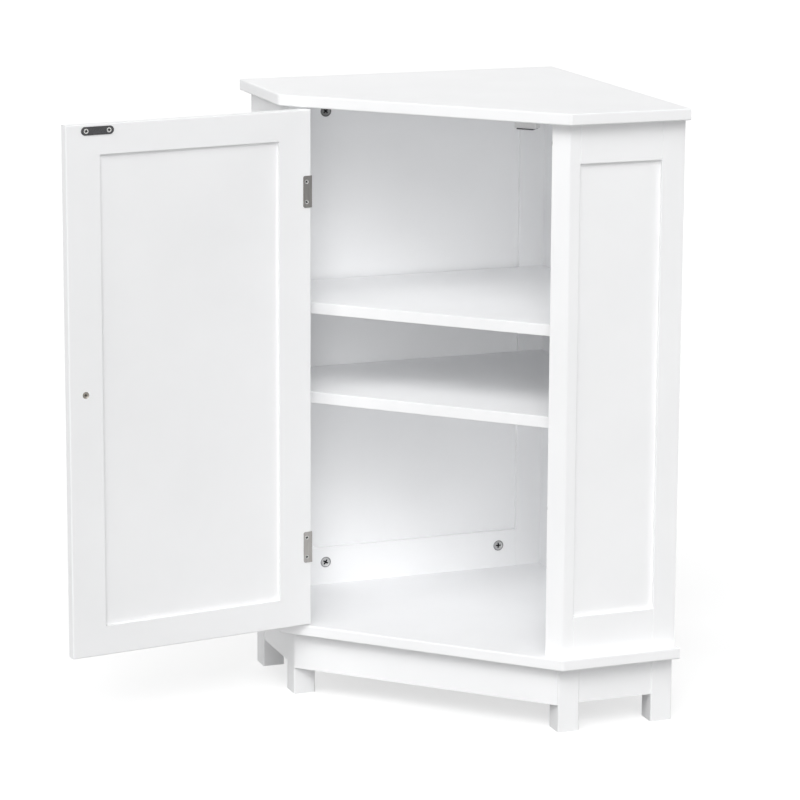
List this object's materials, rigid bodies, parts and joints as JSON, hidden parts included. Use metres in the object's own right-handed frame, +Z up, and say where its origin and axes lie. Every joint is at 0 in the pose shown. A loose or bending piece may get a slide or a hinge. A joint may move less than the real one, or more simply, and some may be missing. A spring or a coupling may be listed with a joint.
{
  "type": "corner bathroom cabinet",
  "caption": "White five-sided corner floor cabinet on square legs, with recessed side panels, open shelves inside and a framed door hinged at the left.",
  "frame": {"origin": "on the floor at the rear corner, where the two walls meet, on the rear leg's outer arris", "axes": "+Z up; the door front faces -Y; +X to the right seen from the front; the walls run from the origin at 45 degrees to X and Y"},
  "size_m": [0.6978, 0.6961, 0.8],
  "materials": {
    "white_paint": "satin white paint on board",
    "white_plastic": "moulded plastic",
    "hinge_nickel": "satin nickel plate",
    "knob_nickel": "satin nickel plate",
    "screw_steel": "zinc plate",
    "cam_zinc": "die-cast zinc",
    "dark_steel": "dark grey coated steel"
  },
  "bodies": {
    "carcass": {"bottom_panel": "white_paint", "cam_bolts": "screw_steel", "cam_locks": "cam_zinc", "catch_housing": "white_plastic", "catch_magnet": "dark_steel", "catch_screws": "screw_steel", "front_apron": "white_paint", "hinge_frame_screws": "screw_steel", "hinge_pins": "screw_steel", "left_back_apron": "white_paint", "left_back_bottom_rail": "white_paint", "left_back_far_stile": "white_paint", "left_back_near_stile": "white_paint", "left_back_panel": "white_paint", "left_back_top_rail": "white_paint", "left_front_leg": "white_paint", "left_rear_leg": "white_paint", "left_side_apron": "white_paint", "left_side_bottom_rail": "white_paint", "left_side_far_stile": "white_paint", "left_side_near_stile": "white_paint", "left_side_panel": "white_paint", "left_side_top_rail": "white_paint", "lower_hinge_frame_leaf": "hinge_nickel", "lower_shelf": "white_paint", "rear_leg": "white_paint", "right_back_apron": "white_paint", "right_back_bottom_rail": "white_paint", "right_back_far_stile": "white_paint", "right_back_near_stile": "white_paint", "right_back_panel": "white_paint", "right_back_top_rail": "white_paint", "right_front_leg": "white_paint", "right_rear_leg": "white_paint", "right_side_apron": "white_paint", "right_side_bottom_rail": "white_paint", "right_side_far_stile": "white_paint", "right_side_near_stile": "white_paint", "right_side_panel": "white_paint", "right_side_top_rail": "white_paint", "shelf_pins": "screw_steel", "top_panel": "white_paint", "upper_hinge_frame_leaf": "hinge_nickel", "upper_shelf": "white_paint"},
    "door": {"door_bottom_rail": "white_paint", "door_free_stile": "white_paint", "door_hinge_stile": "white_paint", "door_panel": "white_paint", "door_top_rail": "white_paint", "hinge_door_screws": "screw_steel", "knob": "knob_nickel", "knob_screw": "screw_steel", "lower_hinge_door_leaf": "hinge_nickel", "strike_plate": "dark_steel", "strike_screws": "screw_steel", "upper_hinge_door_leaf": "hinge_nickel"}
  },
  "joints": [
    {"name": "door_hinge", "type": "hinge", "parent": "carcass", "child": "door", "pos_m": [-0.16846, -0.41736, 0.444], "axis": [0, 0, 1], "range_deg": [-43, 127]}
  ]
}
